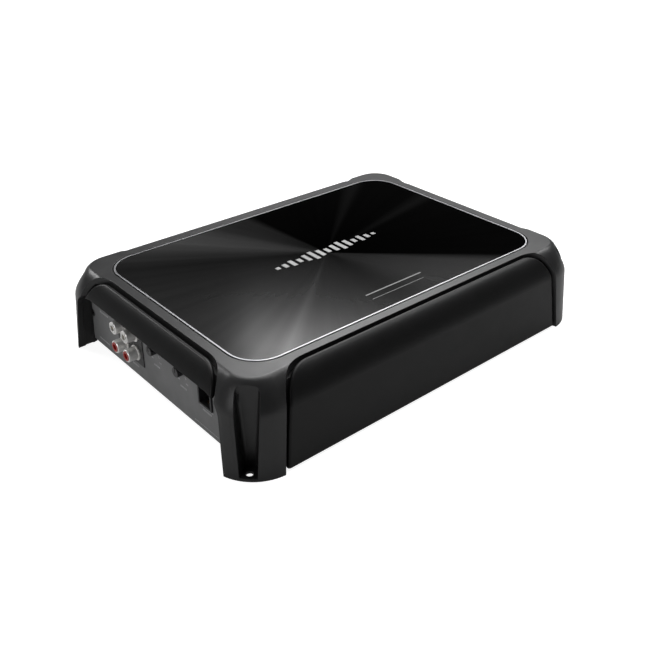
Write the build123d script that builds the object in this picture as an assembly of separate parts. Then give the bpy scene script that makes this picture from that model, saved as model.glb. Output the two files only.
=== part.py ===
from build123d import *

import math
import os

# Car amplifier: a moulded top cover with four corner posts over a finned heat sink,
# stepped covers on both long sides, an open connector bay under a hood at each end.
# Millimetres. Origin at the centre of the footprint, on the surface it stands on.
# X runs along the body (input end at -X, power end at +X), Z is up.

# ---- Driving dimensions -----------------------------------------------------------
LENGTH = 291.0         # over the full corner circles; the bays cut 1.25 mm off each end
WIDTH = 210.0          # likewise; the side openings cut 0.1 mm off each side
HEIGHT = 56.0

FOOT_R = 29.5          # plan radius of the corner posts at the floor
WAIST_R = 26.2         # the same radius where the shoulder starts
WAIST_Z = 38.0
TOP_R = 13.8           # and where the flat top starts
SHOULDER_ROUND = 0.3   # share of the shoulder that each of its two bends takes up
CORNER_X = LENGTH / 2 - FOOT_R
CORNER_Y = WIDTH / 2 - FOOT_R

SHELL = 3.2            # wall of the moulded cover
RECESS_FLOOR = 52.5    # the top panel lies on this face
FLOOR_UNDER = 50.5     # underside of that floor
RING_LENGTH = 241.5    # centre line of the bright trim ring
RING_WIDTH = 159.5
RING_R = 20.0
RING_LINE = 1.0        # width of the trim ring
RING_GAP = 0.9         # shadow gap outside the ring

GROOVE = 1.7           # shadow groove round the side covers and the hoods
GROOVE_DEPTH = 3.6
FLANGE_T = 4.4         # thickness of the flange that closes the groove from below
FLANGE_TUCK = 1.6      # how far it reaches under the frame
COVER_INSET = 0.7      # side covers and hoods sit this far inside the posts
SIDE_HALF_X = 118.0    # half length of a side opening at the floor
SIDE_EDGE_Y = 83.2     # its inner edge at the floor
SIDE_TAPER = 4.4       # degrees: the opening narrows upwards
SIDE_CORNER_R = 27.0
SIDE_BOTTOM = 2.0

HOOD_HALF_Y = 77.0
HOOD_EDGE_X = 128.9
HOOD_CORNER_R = 24.0
BAY_TOP = 42.8
BAY_FOOT_Y = 84.0      # half width of a bay at the floor
BAY_LEAN = 0.1285      # its posts lean in by this much per millimetre of height
BAY_CORNER_R = 10.0
HOOD_DROP_R = 16.0     # a hood's lower edge curves down this much more at its ends
BAY_WALL = 2.5
BAY_STEP = 0.7         # the lining steps back behind a rim
BAY_RIM_X = 139.0
COVER_EDGE_R = 1.5     # rounded edge of the side covers
HOOD_EDGE_R = 1.6      # and of the hoods

PLATE_X = 132.0        # outer face of the end plates
PLATE_T = 1.2
PLATE_HALF_Y = 84.2
POST_ROOM_Y = 84.5     # the screw channels keep outside this
PLATE_BOTTOM = 3.1
PLATE_TOP = 46.4

COVER_T = 1.2          # steel bottom cover
COVER_TOP = 3.0

SINK_HALF_X = PLATE_X - PLATE_T - 0.2
SINK_HALF_Y = 83.0
SINK_WALL = 4.0
SINK_TOP = 50.2
SINK_ROOF = 3.7
SINK_ROOF_HALF_X = 126.0
FIN_LENGTH = 196.0
FIN_REACH = 93.0

LEDGE = 1.8            # thickness of the foot at the bottom of each screw channel
CHANNEL_BACK = 17.6    # distance of its back wall from the corner centre
CHANNEL_TOP_W = 13.8   # widths of the back wall at the top and the foot
CHANNEL_FOOT_W = 7.2
CHANNEL_SPLAY = 7.0    # degrees: each side wall opens outwards
CHANNEL_CORNER_R = 2.4
CHANNEL_WALL = 2.2
FOOT_HOLE_X = 133.5
FOOT_HOLE_Y = 93.0
FOOT_HOLE_R = 2.15

BOARD_Z = 8.0
BOARD_T = 1.6
BOARD_TOP = BOARD_Z + BOARD_T
BOARD_HALF_X = 129.0
BOARD_HALF_Y = 78.0

SCREW_R = 1.45         # M3 screws
TAPPED_R = 1.5
HEAD_R = 2.75
HEAD_H = 1.3
FLAT_HEAD_R = 2.7      # countersunk screws of the end plates
FLAT_HEAD_H = 1.15
FIT = 0.3              # clearance between fixed neighbours

BOSS_X = 119.5
BOSS_Y = 88.0
BOSS_R = 3.2

# Input end
JACK_Y = (24.0, 37.8)
JACK_Z = (21.0, 34.4)
JACK_R = 4.15
JACK_SLEEVE = 0.95     # wall of its plated sleeve
JACK_BORE_R = 1.6      # takes the centre pin of a phono plug
JACK_BORE_END = 134.2
JACK_TIP = 140.0
JACK_BLOCK_Y = (16.0, 46.0)
JACK_BLOCK_Z = (13.5, 41.5)
JACK_BLOCK_FACE = 132.6
KNOB_Y = {"gain": 0.5, "lowpass": -28.5}
KNOB_Z = 34.5
KNOB_R = 3.2
KNOB_TIP = 136.6
SHAFT_R = 1.5
REMOTE_Y = (-58.6, -45.4)
REMOTE_Z = (21.6, 36.0)
REMOTE_WALL = 1.3

# Power end
FUSE_Y = (-13.5, -3.5)
FUSE_Z = 21.5
FUSE_BODY = (12.0, 5.0, 18.5)
SWITCH_Y = 53.0
SWITCH_Z = 20.0
SWITCH_TRAVEL = 2.0
LED_Y = 66.0
LED_R = 1.5

# Rising-cage clamps: cage (X, Y, Z), roof and wall thickness, screw and wire radii
POWER_CLAMP = {
    "centres": (-68.0, -52.0, -36.0),
    "pitch": 16.0,
    "cage": (8.0, 11.0, 14.0),
    "wall": 1.8,
    "shank_r": 2.5,
    "head_r": 4.0,
    "wire_r": 3.4,
    "travel": 5.0,
}
SPEAKER_CLAMP = {
    "centres": (18.0, 31.0),
    "pitch": 13.0,
    "cage": (6.5, 8.0, 11.0),
    "wall": 1.4,
    "shank_r": 1.8,
    "head_r": 3.0,
    "wire_r": 2.2,
    "travel": 3.5,
}
CAGE_BOTTOM = 11.0
CLAMP_X = 134.0
CLAMP_SIDE_WALL = 2.0
BAR_T = 1.8

CORNERS = [(1, 1), (-1, 1), (-1, -1), (1, -1)]


# ---- Helpers ----------------------------------------------------------------------
def block(x, y, z):
    """A box from three (low, high) pairs."""
    size = [high - low for low, high in (x, y, z)]
    centre = [(high + low) / 2 for low, high in (x, y, z)]
    return Pos(*centre) * Box(*size)


def upright(x, y, z, radius):
    """A vertical cylinder between two heights."""
    return Pos(x, y, (z[0] + z[1]) / 2) * Cylinder(radius, z[1] - z[0])


def lengthwise(x, y, z, radius):
    """A cylinder along X between two places."""
    return Pos((x[0] + x[1]) / 2, y, z) * Rot(0, 90, 0) * Cylinder(radius, x[1] - x[0])


def mirrored_x(shape):
    """The same shape at the other end."""
    return mirror(shape, about=Plane.YZ)


def mirrored_y(shape):
    """The same shape on the other long side."""
    return mirror(shape, about=Plane.XZ)


def group(shapes):
    """Separate solids kept together under one node."""
    return Compound(children=[solid for shape in shapes for solid in shape.solids()])


def save(name, shape):
    """Write one sub-part."""
    export_step(shape, f"parts/{name}.step")


# ---- Outer form -------------------------------------------------------------------
def outline(inset):
    """Half section of the body, set in from the outside; X counts from a corner centre."""
    foot = (FOOT_R - inset, 0.0)
    waist = (WAIST_R - inset, WAIST_Z)
    top = (TOP_R, HEIGHT - inset)
    handle_out = SHOULDER_ROUND * (waist[0] - TOP_R)
    handle_up = SHOULDER_ROUND * (top[1] - WAIST_Z)
    lean = (foot[0] - waist[0]) / WAIST_Z
    waist_handle = (waist[0] - lean * handle_up, waist[1] + handle_up)
    top_handle = (TOP_R + handle_out, top[1])
    edges = [
        Line((0, 0), foot),
        Line(foot, waist),
        Bezier(waist, waist_handle, top_handle, top),
        Line(top, (0, top[1])),
        Line((0, top[1]), (0, 0)),
    ]
    return Plane.XZ * make_face(edges)


def body(inset):
    """The whole outer form, set in from the outside."""
    section = outline(inset)
    solid = block((-CORNER_X, CORNER_X), (-CORNER_Y, CORNER_Y), (0, HEIGHT - inset))
    end = extrude(section, amount=CORNER_Y, dir=(0, 1, 0), both=True)
    side = Rot(0, 0, 90) * extrude(section, amount=CORNER_X, dir=(0, 1, 0), both=True)
    corner = revolve(section, axis=Axis.Z, revolution_arc=90)
    solid += [Pos(CORNER_X, 0, 0) * end, Pos(-CORNER_X, 0, 0) * Rot(0, 0, 180) * end]
    solid += [Pos(0, CORNER_Y, 0) * side, Pos(0, -CORNER_Y, 0) * Rot(0, 0, 180) * side]
    for quarter, (sx, sy) in enumerate(CORNERS):
        solid += Pos(sx * CORNER_X, sy * CORNER_Y, 0) * Rot(0, 0, 90 * quarter) * corner
    return solid


def side_region(grow):
    """Everything that belongs to the cover on the +Y side, with its groove centred on the edge."""
    depth = 60.0
    plan = RectangleRounded(2 * (SIDE_HALF_X + grow), depth + 2 * grow, SIDE_CORNER_R + grow)
    region = extrude(Pos(0, SIDE_EDGE_Y + depth / 2, -1) * plan, amount=HEIGHT + 4, taper=SIDE_TAPER)
    return region


def end_region(grow):
    """Everything that belongs to the hood at the +X end."""
    depth = 70.0
    plan = RectangleRounded(depth + 2 * grow, 2 * (HOOD_HALF_Y + grow), HOOD_CORNER_R + grow)
    return extrude(Pos(HOOD_EDGE_X + depth / 2, 0, -1) * plan, amount=HEIGHT + 4)


def bay_half_width(z):
    return BAY_FOOT_Y - BAY_LEAN * z


def bay_arch(grow, depth=30.0, corner_r=BAY_CORNER_R):
    """The opening of a connector bay at the +X end, between posts that lean in."""
    low = -10.0
    high = BAY_TOP + grow
    low_half = bay_half_width(low) + grow
    high_half = bay_half_width(high) + grow
    arch = make_face(
        Polyline((-low_half, low), (low_half, low), (high_half, high), (-high_half, high), close=True)
    )
    arch = fillet(arch.vertices().group_by(Axis.Y)[-1], corner_r + grow)
    return Pos(PLATE_X + 0.05, 0, 0) * extrude(Plane.YZ * arch, amount=depth)


def channel(grow, foot):
    """The screw channel on the diagonal of the (+X, +Y) post: splayed walls, rounded back corners."""
    reach = 25.0
    diagonal = Plane(origin=(CORNER_X, CORNER_Y, 0), x_dir=(-1, 1, 0), z_dir=(1, 1, 0))
    sections = []
    for step in (0.0, reach):
        spread = grow + step * math.tan(math.radians(CHANNEL_SPLAY))
        top_half = CHANNEL_TOP_W / 2 + spread
        foot_half = CHANNEL_FOOT_W / 2 + spread
        high = HEIGHT + 2
        outline_points = [(-foot_half, foot), (foot_half, foot), (top_half, high), (-top_half, high)]
        face = make_face(Polyline(*outline_points, close=True))
        sections.append(diagonal.offset(CHANNEL_BACK - grow + step) * face)
    solid = loft(sections, ruled=True)
    back = solid.faces().sort_by(Axis((0, 0, 0), (1, 1, 0)))[0]
    return fillet(back.edges().sort_by(SortBy.LENGTH)[-2:], CHANNEL_CORNER_R + grow)


def top_frame():
    """Moulded top cover: border, recess for the top panel and four hollow corner posts."""
    outside = body(0)
    cavity = body(SHELL) & block((-200, 200), (-200, 200), (-1, FLOOR_UNDER))
    frame = outside - cavity

    post_room = block((PLATE_X - 1.5, 200), (POST_ROOM_Y, 200), (-1, HEIGHT + 3))
    post_room += block((SIDE_HALF_X - 4, 200), (POST_ROOM_Y + 1, 200), (-1, HEIGHT + 3))
    post_room += block((PLATE_X + 0.3, 200), (POST_ROOM_Y - 5, 200), (-1, HEIGHT + 3))
    sleeve = channel(CHANNEL_WALL, 0) & outside & post_room
    lining = bay_arch(BAY_WALL) - bay_arch(0) - bay_arch(BAY_STEP, BAY_RIM_X - PLATE_X)
    lining = (lining - end_region(GROOVE / 2 + FLANGE_TUCK + 0.2)) & outside
    boss = upright(BOSS_X, BOSS_Y, (COVER_TOP + 0.05, FLOOR_UNDER + 1), BOSS_R)
    boss -= upright(BOSS_X, BOSS_Y, (0, 16), TAPPED_R)
    corner_work = sleeve + boss
    for mirror_end in (False, True):
        for mirror_side in (False, True):
            work = mirrored_x(corner_work) if mirror_end else corner_work
            work = mirrored_y(work) if mirror_side else work
            frame += work
    frame += [lining, mirrored_x(lining)]

    screw_way = channel(0, LEDGE)
    screw_way += upright(FOOT_HOLE_X, FOOT_HOLE_Y, (-1, LEDGE + 1), FOOT_HOLE_R)
    end_cut = end_region(GROOVE / 2) + bay_arch(0)
    side_cut = side_region(GROOVE / 2)
    frame -= [end_cut, mirrored_x(end_cut), side_cut, mirrored_y(side_cut)]
    for mirror_end in (False, True):
        for mirror_side in (False, True):
            way = mirrored_x(screw_way) if mirror_end else screw_way
            frame -= mirrored_y(way) if mirror_side else way

    border = RING_LINE / 2 + RING_GAP
    recess = RectangleRounded(RING_LENGTH + 2 * border, RING_WIDTH + 2 * border, RING_R + border)
    frame -= extrude(Pos(0, 0, RECESS_FLOOR) * recess, amount=10)
    return frame


def trim_ring():
    """Bright metal line round the top panel."""
    half_line = RING_LINE / 2
    outer = RectangleRounded(RING_LENGTH + RING_LINE, RING_WIDTH + RING_LINE, RING_R + half_line)
    inner = RectangleRounded(RING_LENGTH - RING_LINE, RING_WIDTH - RING_LINE, RING_R - half_line)
    return extrude(Pos(0, 0, RECESS_FLOOR) * (outer - inner), amount=HEIGHT - RECESS_FLOOR)


def top_panel():
    """Glossy plate inside the trim ring."""
    play = RING_LINE / 2 + 0.05
    plan = RectangleRounded(RING_LENGTH - 2 * play, RING_WIDTH - 2 * play, RING_R - play)
    return extrude(Pos(0, 0, RECESS_FLOOR) * plan, amount=HEIGHT - 0.4 - RECESS_FLOOR)


def lies_on(solid, edge):
    """Whether the middle of an edge is on a solid's surface."""
    middle = Vertex(*edge.position_at(0.5))
    return solid.shells()[0].distance_to(middle) < 0.01


def rounded_lump(region, edge_r):
    """The body inside a cover's groove, with the edge between its outside and the groove rounded."""
    outside = body(COVER_INSET)
    inside_groove = region(-GROOVE / 2)
    lump = outside & inside_groove & block((-200, 200), (-200, 200), (SIDE_BOTTOM, 100))
    edges = [e for e in lump.edges() if lies_on(outside, e) and lies_on(inside_groove, e)]
    return fillet(edges, edge_r)


def stepped_cover(region, edge_r):
    """A shell inside its groove, with a deeper flange that closes the groove and tucks under the frame."""
    skin = rounded_lump(region, edge_r) - body(GROOVE_DEPTH)
    flange = (body(GROOVE_DEPTH) - body(GROOVE_DEPTH + FLANGE_T)) & region(GROOVE / 2 + FLANGE_TUCK)
    flange &= block((-200, 200), (-200, 200), (0, SINK_TOP))
    return skin + flange


def side_cover():
    """Satin cover on the +Y side."""
    cover = stepped_cover(side_region, COVER_EDGE_R)
    return cover & block((-200, 200), (0, 200), (SIDE_BOTTOM, 100))


def hood():
    """Cover over the connector bay at the +X end."""
    cover = stepped_cover(end_region, HOOD_EDGE_R)
    cover -= bay_arch(0, corner_r=HOOD_DROP_R)
    cover -= block((0, PLATE_X + 0.1), (-200, 200), (-1, PLATE_TOP + 0.1))
    cover -= block((0, SINK_ROOF_HALF_X + 0.2), (-200, 200), (-1, SINK_TOP + 0.05))
    return cover & block((0, 200), (-BAY_FOOT_Y, BAY_FOOT_Y), (28, 100))


# ---- Chassis ----------------------------------------------------------------------
CLAMP_PITCH = 20.0
TRANSISTOR_X = [CLAMP_PITCH * (i - 3.5) for i in range(8)]
CLAMP_SCREW_X = [CLAMP_PITCH * i for i in (-3, -1, 1, 3)]
CLAMP_SCREW_Z = 27.0
PAD_T = 0.4
PAD_FACE = SINK_HALF_Y - SINK_WALL - PAD_T
BAR_FACE = PAD_FACE - 4.5
PLATE_SCREWS = [(sy * 81.0, z) for sy in (1, -1) for z in (24.0, 41.0)]
COVER_SCREWS = [(x, sy * 81.0) for x in (-112.0, 0.0, 112.0) for sy in (1, -1)]
BOSS_SCREWS = [(sx * BOSS_X, sy * BOSS_Y) for sx, sy in CORNERS]


def heatsink():
    """Extruded heat sink: roof, two side walls, and side fins that stop short of the posts."""
    sink = block((-SINK_HALF_X, SINK_HALF_X), (-SINK_HALF_Y, SINK_HALF_Y), (COVER_TOP, SINK_TOP))
    inner_y = SINK_HALF_Y - SINK_WALL
    sink -= block((-200, 200), (-inner_y, inner_y), (0, SINK_TOP - SINK_ROOF))
    for i in range(6):
        z = COVER_TOP + 2 + 7.5 * i
        reach = FIN_REACH if z < WAIST_Z - 4 else FIN_REACH - 4
        for sy in (1, -1):
            y = sorted((sy * SINK_HALF_Y, sy * reach))
            sink += block((-FIN_LENGTH / 2, FIN_LENGTH / 2), y, (z, z + 2))
    for sx in (1, -1):
        x = sorted((sx * SINK_ROOF_HALF_X, sx * (SINK_HALF_X + 1)))
        sink -= block(x, (-200, 200), (SINK_TOP - SINK_ROOF, 100))
    for y, z in PLATE_SCREWS:
        for sx in (1, -1):
            x = sorted((sx * (SINK_HALF_X - 10), sx * (SINK_HALF_X + 1)))
            sink -= lengthwise(x, y, z, TAPPED_R)
    for x, y in COVER_SCREWS:
        sink -= upright(x, y, (0, COVER_TOP + 9), TAPPED_R)
    for x in CLAMP_SCREW_X:
        sink -= Pos(x, 0, CLAMP_SCREW_Z) * Rot(90, 0, 0) * Cylinder(TAPPED_R, 2 * SINK_HALF_Y + 2)
    return sink


def bottom_cover():
    """Steel bottom cover with ears under the posts and two fields of vent slots."""
    z = (COVER_TOP - COVER_T, COVER_TOP - 0.02)
    cover = block((-SINK_HALF_X, SINK_HALF_X), (-84, 84), z)
    cover += block((-123.5, 123.5), (-91.5, 91.5), z)
    cover += block((-112, 112), (-96, 96), z)
    slot = extrude(SlotOverall(34, 4), amount=10, both=True)
    for sx in (1, -1):
        for i in range(7):
            cover -= Pos(sx * 62, 12 * (i - 3), 0) * slot
    for x, y in COVER_SCREWS + BOSS_SCREWS:
        cover -= upright(x, y, (0, 5), TAPPED_R + 0.1)
    for x, y in BOARD_POSTS:
        cover -= upright(x, y, (0, 5), TAPPED_R + 0.1)
    return cover


def pan_screw(length):
    """Screw with its head's bearing face at Z = 0, shank upwards and a cross recess below."""
    screw = upright(0, 0, (-HEAD_H, 0), HEAD_R) + upright(0, 0, (-0.1, length), SCREW_R)
    screw = fillet(screw.faces().sort_by(Axis.Z)[0].edges(), 0.7)
    for size in ((2.6, 0.6), (0.6, 2.6)):
        screw -= block((-size[0] / 2, size[0] / 2), (-size[1] / 2, size[1] / 2), (-HEAD_H - 1, -HEAD_H + 0.8))
    return screw


def flat_screw(length):
    """Countersunk screw with its flat face at Z = 0, shank upwards and a cross recess."""
    screw = Pos(0, 0, FLAT_HEAD_H / 2) * Cone(FLAT_HEAD_R, SCREW_R, FLAT_HEAD_H)
    screw += upright(0, 0, (FLAT_HEAD_H - 0.1, length), SCREW_R)
    for size in ((2.6, 0.6), (0.6, 2.6)):
        screw -= block((-size[0] / 2, size[0] / 2), (-size[1] / 2, size[1] / 2), (-1, 0.8))
    return screw


def end_plate_blank():
    """Steel end plate at the +X end, before its connector openings."""
    plate = block((PLATE_X - PLATE_T, PLATE_X), (-PLATE_HALF_Y, PLATE_HALF_Y), (PLATE_BOTTOM, PLATE_TOP))
    sink = Pos(0, 0, FLAT_HEAD_H / 2) * Cone(FLAT_HEAD_R + 0.05, SCREW_R + 0.05, FLAT_HEAD_H)
    for y, z in PLATE_SCREWS:
        plate -= lengthwise((PLATE_X - 5, PLATE_X + 5), y, z, TAPPED_R + 0.1)
        plate -= Pos(PLATE_X, y, z) * Rot(0, -90, 0) * sink
    return plate


def plate_window(plate, y, z, play=FIT):
    """Cut a rectangular opening in the plate at the +X end."""
    return plate - block((100, 200), (y[0] - play, y[1] + play), (z[0] - play, z[1] + play))


# ---- Input end --------------------------------------------------------------------
# These pieces are drawn at the +X end, on their real side, and turned over to -X.
def input_plate():
    plate = end_plate_blank()
    plate = plate_window(plate, JACK_BLOCK_Y, JACK_BLOCK_Z, play=0.1)
    plate = plate_window(plate, REMOTE_Y, REMOTE_Z)
    for y in KNOB_Y.values():
        plate -= lengthwise((100, 200), y, KNOB_Z, 3.2)
    return plate


def jack_block():
    """Black housing that carries the four jacks."""
    housing = block((JACK_BLOCK_FACE - 22, JACK_BLOCK_FACE), JACK_BLOCK_Y, JACK_BLOCK_Z)
    housing += block((JACK_BLOCK_FACE - 22, PLATE_X - PLATE_T - FIT), JACK_BLOCK_Y, (BOARD_TOP + 0.05, 20))
    for y, z in JACKS:
        housing -= lengthwise((JACK_BLOCK_FACE - 3, 200), y, z, JACK_R + 0.03)
    return housing


JACKS = [(y, z) for z in JACK_Z for y in JACK_Y]


def jack_shell(y, z):
    """Plated outer sleeve of a jack, with its flange."""
    base = JACK_BLOCK_FACE - 3
    shell = lengthwise((base, JACK_TIP - 0.3), y, z, JACK_R)
    shell = chamfer(shell.faces().sort_by(Axis.X)[-1].edges(), 0.35)
    shell += lengthwise((JACK_BLOCK_FACE + 0.02, JACK_BLOCK_FACE + 0.8), y, z, JACK_R + 0.9)
    return shell - lengthwise((base + 0.8, 200), y, z, JACK_R - JACK_SLEEVE)


def jack_insulator(y, z):
    """Coloured insulator that stands a little out of the mouth of the sleeve."""
    base = JACK_BLOCK_FACE - 2.1
    insulator = lengthwise((base, JACK_TIP), y, z, JACK_R - JACK_SLEEVE - 0.05)
    return insulator - lengthwise((base + 0.6, 200), y, z, 2.0)


def jack_contact(y, z):
    """Centre contact: a short split tube."""
    contact = lengthwise((JACK_BLOCK_FACE - 1.4, JACK_TIP - 1.6), y, z, 1.95)
    contact -= lengthwise((JACK_BORE_END, 200), y, z, JACK_BORE_R)
    return contact - block((JACK_TIP - 3.2, 200), (y - 0.25, y + 0.25), (z - 3, z + 3))


def control(y):
    """A rotary control: its body with the bushing, and the knob with its shaft."""
    face = PLATE_X - PLATE_T - FIT
    pot = block((face - 8, face), (y - 5, y + 5), (KNOB_Z - 6, KNOB_Z + 5))
    pot += lengthwise((face - 1, PLATE_X + 0.4), y, KNOB_Z, 3.0)
    pot -= lengthwise((face - 6, 200), y, KNOB_Z, SHAFT_R + 0.05)
    knob = lengthwise((PLATE_X + 0.8, KNOB_TIP), y, KNOB_Z, KNOB_R)
    knob = fillet(knob.faces().sort_by(Axis.X)[-1].edges(), 0.5)
    for i in range(16):
        angle = math.radians(360 / 16 * i)
        ridge_y = y + (KNOB_R + 0.12) * math.cos(angle)
        ridge_z = KNOB_Z + (KNOB_R + 0.12) * math.sin(angle)
        knob -= lengthwise((PLATE_X + 1.8, 200), ridge_y, ridge_z, 0.32)
    knob -= block((KNOB_TIP - 0.7, 200), (y - 0.35, y + 0.35), (KNOB_Z - 0.4, KNOB_Z + 3.0))
    knob += lengthwise((face - 5.5, PLATE_X + 1), y, KNOB_Z, SHAFT_R)
    return pot, knob


def remote_socket():
    """Modular socket for the wired level control, with its row of spring contacts."""
    back = PLATE_X - 15
    housing = block((back, PLATE_X + 1), REMOTE_Y, REMOTE_Z)
    cavity_y = (REMOTE_Y[0] + REMOTE_WALL, REMOTE_Y[1] - REMOTE_WALL)
    cavity_z = (REMOTE_Z[0] + REMOTE_WALL, REMOTE_Z[1] - REMOTE_WALL - 1.2)
    housing -= block((PLATE_X - 11, 200), cavity_y, cavity_z)
    middle = (REMOTE_Y[0] + REMOTE_Y[1]) / 2
    housing -= block((PLATE_X - 11, 200), (middle - 3, middle + 3), (cavity_z[1] - 1, cavity_z[1] + 1.2))
    contacts = []
    for i in range(4):
        y = middle + 1.3 * (i - 1.5)
        height = (cavity_z[0] + 0.02, cavity_z[0] + 0.7)
        contacts.append(block((PLATE_X - 10.95, PLATE_X - 2), (y - 0.25, y + 0.25), height))
    return housing, contacts


def preamp_board():
    """Upright board that carries the two controls and the remote socket."""
    x = PLATE_X - 17
    return block((x - 1.6, x), (-62, 10), (BOARD_TOP + 0.05, 44))


def input_end():
    pieces = {"end_plate_input": input_plate(), "rca_housing": jack_block()}
    pieces["rca_shells"] = group([jack_shell(y, z) for y, z in JACKS])
    rows = {"red": JACK_Z[0], "white": JACK_Z[1]}
    for colour, z in rows.items():
        pieces[f"rca_insulators_{colour}"] = group([jack_insulator(y, z) for y in JACK_Y])
    pieces["rca_contacts"] = group([jack_contact(y, z) for y, z in JACKS])
    for name, y in KNOB_Y.items():
        pot, knob = control(y)
        pieces[f"{name}_pot_body"] = pot
        pieces[f"{name}_knob"] = knob
    housing, contacts = remote_socket()
    pieces["remote_socket"] = housing
    pieces["remote_socket_contacts"] = group(contacts)
    pieces["preamp_board"] = preamp_board()
    return {name: mirrored_x(piece) for name, piece in pieces.items()}


# ---- Power end --------------------------------------------------------------------
def clamp_levels(clamp):
    """Heights of a clamp: window floor, bar underside, bar top, chamber roof, seat, housing top."""
    window_floor = CAGE_BOTTOM + clamp["wall"]
    roof = clamp["wall"] + 0.7
    bar_top = CAGE_BOTTOM + clamp["cage"][2] - roof - 1.0
    bar_under = bar_top - BAR_T
    chamber_top = CAGE_BOTTOM + clamp["cage"][2] + clamp["travel"] + 0.4
    seat = chamber_top + 1.0
    housing_top = seat + clamp["shank_r"] + 1.2
    return window_floor, bar_under, bar_top, chamber_top, seat, housing_top


def clamp_housing_box(clamp):
    """Outer limits of a terminal housing: (X pair, Y pair, Z pair)."""
    half_x = clamp["cage"][0] / 2
    margin = clamp["pitch"] / 2 + CLAMP_SIDE_WALL / 2
    y = (clamp["centres"][0] - margin, clamp["centres"][-1] + margin)
    x = (CLAMP_X - half_x - 5, CLAMP_X + half_x + 4)
    return x, y, (BOARD_TOP + 0.05, clamp_levels(clamp)[-1])


def clamp_housing(clamp):
    """Moulded terminal block with a chamber, a wire entry and a screw well for each clamp."""
    x, y, z = clamp_housing_box(clamp)
    housing = block(x, y, z)
    window_floor, bar_under, bar_top, chamber_top, seat, _ = clamp_levels(clamp)
    half_x = clamp["cage"][0] / 2 + 0.25
    half_y = clamp["cage"][1] / 2 + 0.25
    wire_z = (window_floor + bar_under) / 2
    bar_half = clamp["wire_r"] - 0.4
    for y0 in clamp["centres"]:
        chamber_z = (CAGE_BOTTOM - 0.2, chamber_top)
        housing -= block((CLAMP_X - half_x, CLAMP_X + half_x), (y0 - half_y, y0 + half_y), chamber_z)
        housing -= lengthwise((CLAMP_X, 200), y0, wire_z, clamp["wire_r"])
        housing -= block((100, CLAMP_X), (y0 - bar_half, y0 + bar_half), (bar_under - 0.05, bar_top + 0.05))
        housing -= upright(CLAMP_X, y0, (CAGE_BOTTOM, 100), clamp["shank_r"] + 0.1)
        housing -= upright(CLAMP_X, y0, (seat, 100), clamp["head_r"] + 0.2)
    return housing


def clamp_cage(clamp, y0):
    """Square metal cage that the screw lifts to trap the wire against the bar."""
    length, width, height = clamp["cage"]
    window_floor, _, bar_top, _, _, _ = clamp_levels(clamp)
    x = (CLAMP_X - length / 2, CLAMP_X + length / 2)
    cage = block(x, (y0 - width / 2, y0 + width / 2), (CAGE_BOTTOM, CAGE_BOTTOM + height))
    inner = width / 2 - clamp["wall"]
    cage -= block((100, 200), (y0 - inner, y0 + inner), (window_floor, bar_top + 1.0))
    return cage - upright(CLAMP_X, y0, (bar_top, 100), clamp["shank_r"] + 0.05)


def clamp_screw(clamp, y0):
    """Captive screw with a hexagon socket."""
    bar_top, _, seat, housing_top = clamp_levels(clamp)[2:]
    head_top = housing_top - 0.4
    screw = upright(CLAMP_X, y0, (bar_top + 0.1, seat + 0.1), clamp["shank_r"])
    screw += upright(CLAMP_X, y0, (seat + 0.02, head_top), clamp["head_r"])
    socket = extrude(Pos(CLAMP_X, y0, head_top - 2.0) * RegularPolygon(clamp["head_r"] * 0.6, 6), amount=5)
    return screw - socket


def clamp_bar(clamp, y0):
    """Tinned copper bar from the board into the clamp, with its solder leg."""
    _, bar_under, bar_top, _, _, _ = clamp_levels(clamp)
    half = clamp["wire_r"] - 0.5
    back = clamp_housing_box(clamp)[0][0] - 6
    bar = block((back, CLAMP_X + clamp["cage"][0] / 2 - 1), (y0 - half, y0 + half), (bar_under, bar_top))
    return bar + block((back, back + 1.5), (y0 - half, y0 + half), (BOARD_TOP + 0.05, bar_top))


def fuse_holder():
    """Holder with two pockets for blade fuses."""
    y = (FUSE_Y[0] - 5.5, FUSE_Y[-1] + 5.5)
    holder = block((PLATE_X - 14, PLATE_X + 2.5), y, (BOARD_TOP + 0.05, FUSE_Z + 12))
    for y0 in FUSE_Y:
        holder -= block((PLATE_X - 3, 200), (y0 - 2.8, y0 + 2.8), (FUSE_Z - 9.6, FUSE_Z + 9.6))
        for dz in (-6.5, 6.5):
            z = FUSE_Z + dz
            holder -= block((PLATE_X - 12, 200), (y0 - 0.45, y0 + 0.45), (z - 2.7, z + 2.7))
    return holder


def fuse(y0):
    """Blade fuse: moulded body, and the metal element with two blades."""
    depth, thick, tall = FUSE_BODY
    x = (PLATE_X - 2.5, PLATE_X - 2.5 + depth)
    shell = block(x, (y0 - thick / 2, y0 + thick / 2), (FUSE_Z - tall / 2, FUSE_Z + tall / 2))
    shell = chamfer(shell.faces().sort_by(Axis.X)[-1].edges(), 0.8)
    shell -= block((x[1] - 1.0, 200), (y0 - 1.2, y0 + 1.2), (FUSE_Z - 5, FUSE_Z + 5))
    blades = None
    for dz in (-6.5, 6.5):
        z = FUSE_Z + dz
        blade = block((x[0] - 8.5, x[0] + 5), (y0 - 0.35, y0 + 0.35), (z - 2.5, z + 2.5))
        blades = blade if blades is None else blades + blade
    blades += block((x[0] + 4, x[0] + 5), (y0 - 0.35, y0 + 0.35), (FUSE_Z - 6.5, FUSE_Z + 6.5))
    pocket = block((x[0] - 1, x[0] + 5.05), (y0 - 0.4, y0 + 0.4), (FUSE_Z - 9.05, FUSE_Z + 9.05))
    return shell - pocket, blades


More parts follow.
